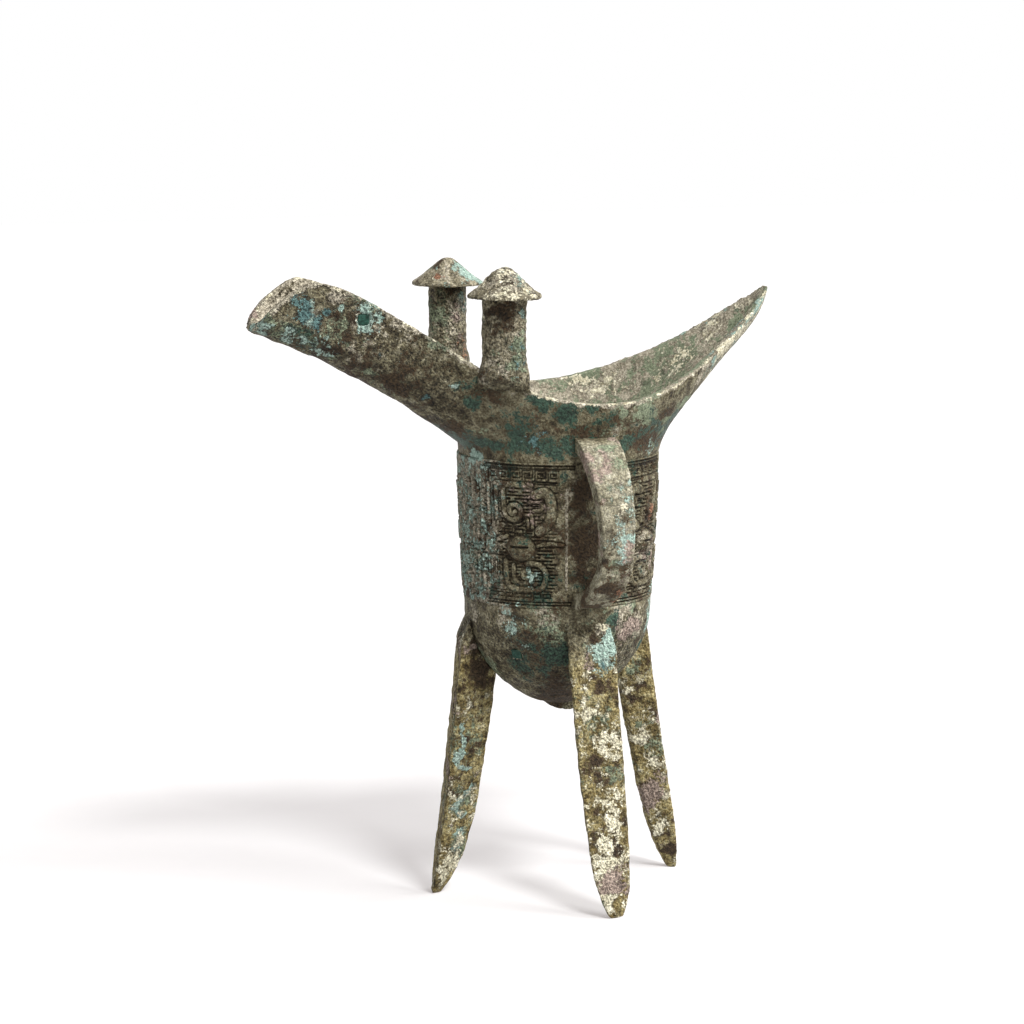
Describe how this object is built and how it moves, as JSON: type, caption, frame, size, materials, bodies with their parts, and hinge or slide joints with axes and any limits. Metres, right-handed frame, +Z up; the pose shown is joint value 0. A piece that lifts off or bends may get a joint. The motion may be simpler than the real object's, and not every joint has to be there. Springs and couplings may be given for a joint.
{
  "type": "bronze jue vessel",
  "caption": "Cast bronze wine vessel on splayed blade legs, with a trough spout, pointed tail, strap handle and capped posts on the rim.",
  "frame": {"origin": "on the surface that the vessel stands on, under the axis of the cup", "axes": "+Z up along the cup's axis, -X towards the spout, +X towards the tail, -Y towards the handle"},
  "size_m": [0.1695, 0.085, 0.1986],
  "materials": {
    "vessel_bronze": "cast, corroded, dark olive and teal patina, matte",
    "spacer_bronze": "cast, corroded, dark green patina, matte",
    "handle_bronze": "cast, corroded, pinkish tan and mint patina, matte",
    "leg_bronze": "cast, corroded, olive brown and cream patina, matte",
    "post_bronze": "cast, corroded, sandy grey-green patina, matte"
  },
  "bodies": {
    "root": {"vessel_body": "vessel_bronze", "core_spacers": "spacer_bronze", "handle": "handle_bronze", "handle_leg": "leg_bronze", "spout_leg": "leg_bronze", "tail_leg": "leg_bronze", "post_near": "post_bronze", "post_far": "post_bronze", "post_cap_near": "post_bronze", "post_cap_far": "post_bronze"}
  },
  "joints": []
}
